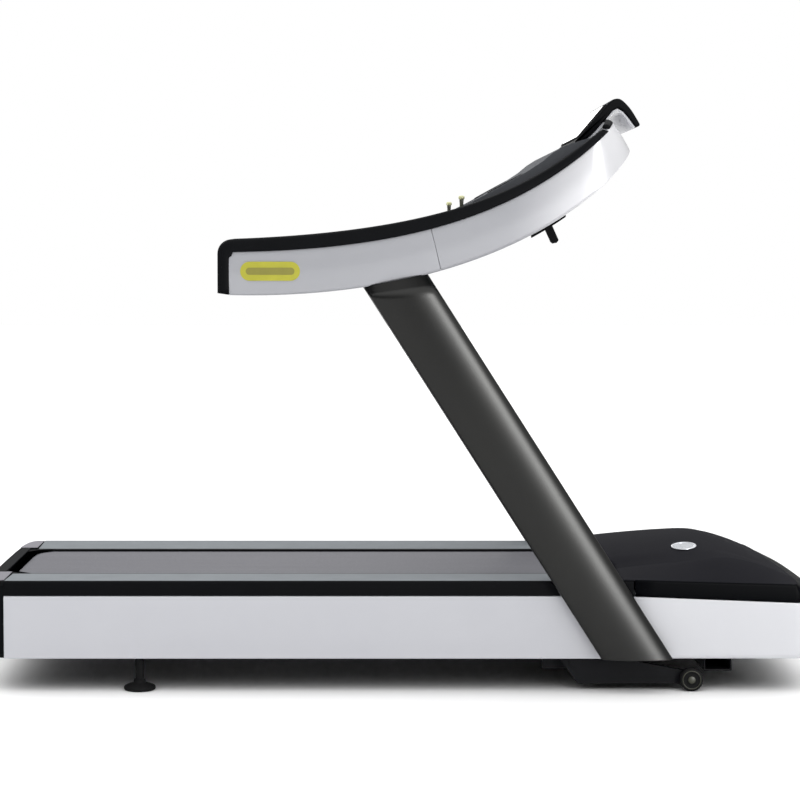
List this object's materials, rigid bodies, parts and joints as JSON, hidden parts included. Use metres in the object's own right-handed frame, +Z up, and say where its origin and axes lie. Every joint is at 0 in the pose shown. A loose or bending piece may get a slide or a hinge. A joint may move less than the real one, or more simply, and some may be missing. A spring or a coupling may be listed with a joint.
{
  "type": "treadmill",
  "caption": "Motorised treadmill with a flat belt deck, hooded drive, slanted uprights, curved handrail arms, a wide console and a wheeled incline lift.",
  "frame": {"origin": "on the floor, under the centre of the machine", "axes": "+X points forward, from the step-on end to the console end; +Y is the user's left; +Z is up"},
  "size_m": [2.163, 0.9254, 1.528],
  "materials": {
    "steel_frame": "satin dark powder coat",
    "aluminium_parts": "cast, lightly blasted",
    "bright_steel": "turned",
    "deck_board": "waxed laminated board",
    "rubber_parts": "matt",
    "running_belt": "fine textured, matt",
    "silver_panel": "satin silver",
    "white_shell": "semi-gloss white",
    "black_cover": "fine moulded grain",
    "step_strip": "ribbed non-slip",
    "upright_metal": "satin metallic",
    "grip": "soft-touch",
    "accent_yellow": "gloss",
    "screen_glass": "polished cover glass",
    "red_key": "gloss",
    "green_key": "gloss"
  },
  "bodies": {
    "frame": {"frame_rail_left": "steel_frame", "frame_rail_right": "steel_frame", "rear_cross_member": "steel_frame", "front_cross_member": "steel_frame", "motor_tray": "steel_frame", "motor_housing": "steel_frame", "lift_actuator": "steel_frame", "handrail_beam_left": "steel_frame", "handrail_beam_right": "steel_frame", "belt_tensioner_left": "aluminium_parts", "belt_tensioner_right": "aluminium_parts", "motor_controller": "aluminium_parts", "running_deck": "deck_board", "deck_cushion_left": "rubber_parts", "deck_cushion_right": "rubber_parts", "drive_belt": "rubber_parts", "running_belt": "running_belt", "side_panel_left": "silver_panel", "side_panel_right": "silver_panel", "handrail_shell_left": "silver_panel", "handrail_shell_right": "silver_panel", "console_side_left": "silver_panel", "console_side_right": "silver_panel", "front_fascia": "white_shell", "console_front": "white_shell", "foot_rail_left": "black_cover", "foot_rail_right": "black_cover", "rear_cap": "black_cover", "motor_hood": "black_cover", "power_inlet": "black_cover", "display_housing": "black_cover", "accessory_hook": "black_cover", "console_base": "black_cover", "foot_rail_strip_left": "step_strip", "foot_rail_strip_right": "step_strip", "upright_left": "upright_metal", "upright_right": "upright_metal", "handrail_grip_left": "grip", "handrail_grip_right": "grip", "dashboard": "grip", "hand_bar": "grip", "accent_plate_left": "accent_yellow", "accent_plate_right": "accent_yellow", "display_glass": "screen_glass"},
    "lift_frame": {"lift_cross_tube": "steel_frame", "lift_arm_left": "steel_frame", "lift_arm_right": "steel_frame"},
    "lift_wheel_left": {"lift_wheel_left": "rubber_parts"},
    "lift_wheel_right": {"lift_wheel_right": "rubber_parts"},
    "lift_rod": {"lift_rod": "bright_steel"},
    "front_roller": {"front_roller": "bright_steel"},
    "rear_roller": {"rear_roller": "bright_steel"},
    "motor_rotor": {"motor_rotor": "bright_steel"},
    "foot_left": {"levelling_foot_left": "rubber_parts"},
    "foot_right": {"levelling_foot_right": "rubber_parts"},
    "speed_lever": {"speed_lever": "grip"},
    "incline_lever": {"incline_lever": "grip"},
    "stop_button": {"stop_button": "red_key"},
    "start_button": {"start_button": "green_key"},
    "power_switch": {"power_switch": "black_cover"}
  },
  "joints": [
    {"name": "lift_pivot", "type": "hinge", "parent": "frame", "child": "lift_frame", "pos_m": [0.4415, 0, 0.075], "axis": [0, 1, 0], "range_deg": [0, 52]},
    {"name": "lift_rod_slide", "type": "slide", "parent": "frame", "child": "lift_rod", "axis": [1, 0, 0], "range_m": [0, 0.0795]},
    {"name": "lift_wheel_spin_left", "type": "hinge", "parent": "lift_frame", "child": "lift_wheel_left", "pos_m": [0.7365, 0.398, 0.03], "axis": [0, 1, 0], "continuous": true},
    {"name": "lift_wheel_spin_right", "type": "hinge", "parent": "lift_frame", "child": "lift_wheel_right", "pos_m": [0.7365, -0.398, 0.03], "axis": [0, 1, 0], "continuous": true},
    {"name": "front_roller_spin", "type": "hinge", "parent": "frame", "child": "front_roller", "pos_m": [0.56, 0, 0.232], "axis": [0, 1, 0], "continuous": true},
    {"name": "rear_roller_spin", "type": "hinge", "parent": "frame", "child": "rear_roller", "pos_m": [-0.998, 0, 0.232], "axis": [0, 1, 0], "continuous": true},
    {"name": "motor_spin", "type": "hinge", "parent": "frame", "child": "motor_rotor", "pos_m": [0.88, 0, 0.232], "axis": [0, 1, 0], "continuous": true},
    {"name": "foot_screw_left", "type": "slide", "parent": "frame", "child": "foot_left", "axis": [0, 0, 1], "range_m": [-0.008, 0.008]},
    {"name": "foot_screw_right", "type": "slide", "parent": "frame", "child": "foot_right", "axis": [0, 0, 1], "range_m": [-0.008, 0.008]},
    {"name": "speed_lever_tilt", "type": "hinge", "parent": "frame", "child": "speed_lever", "pos_m": [0.148, -0.33, 1.228], "axis": [0, 1, 0], "range_deg": [-12, 12], "stiffness_Nm_per_rad": 0.6},
    {"name": "incline_lever_tilt", "type": "hinge", "parent": "frame", "child": "incline_lever", "pos_m": [0.148, 0.33, 1.228], "axis": [0, 1, 0], "range_deg": [-12, 12], "stiffness_Nm_per_rad": 0.6},
    {"name": "stop_press", "type": "slide", "parent": "frame", "child": "stop_button", "axis": [0.4633, 0, -0.8862], "range_m": [0, 0.006], "stiffness_N_per_m": 800, "springref_m": -0.002},
    {"name": "start_press", "type": "slide", "parent": "frame", "child": "start_button", "axis": [0.4633, 0, -0.8862], "range_m": [0, 0.006], "stiffness_N_per_m": 500, "springref_m": -0.002},
    {"name": "power_rocker", "type": "hinge", "parent": "frame", "child": "power_switch", "pos_m": [1.058, 0.03, 0.135], "axis": [0, 1, 0], "range_deg": [-8, 8]}
  ],
  "couplings": [
    {"joint": "rear_roller_spin", "follows": "front_roller_spin", "ratio": 1},
    {"joint": "motor_spin", "follows": "front_roller_spin", "ratio": 1.363},
    {"joint": "lift_rod_slide", "follows": "lift_pivot", "m_per_rad": 0.0869}
  ]
}
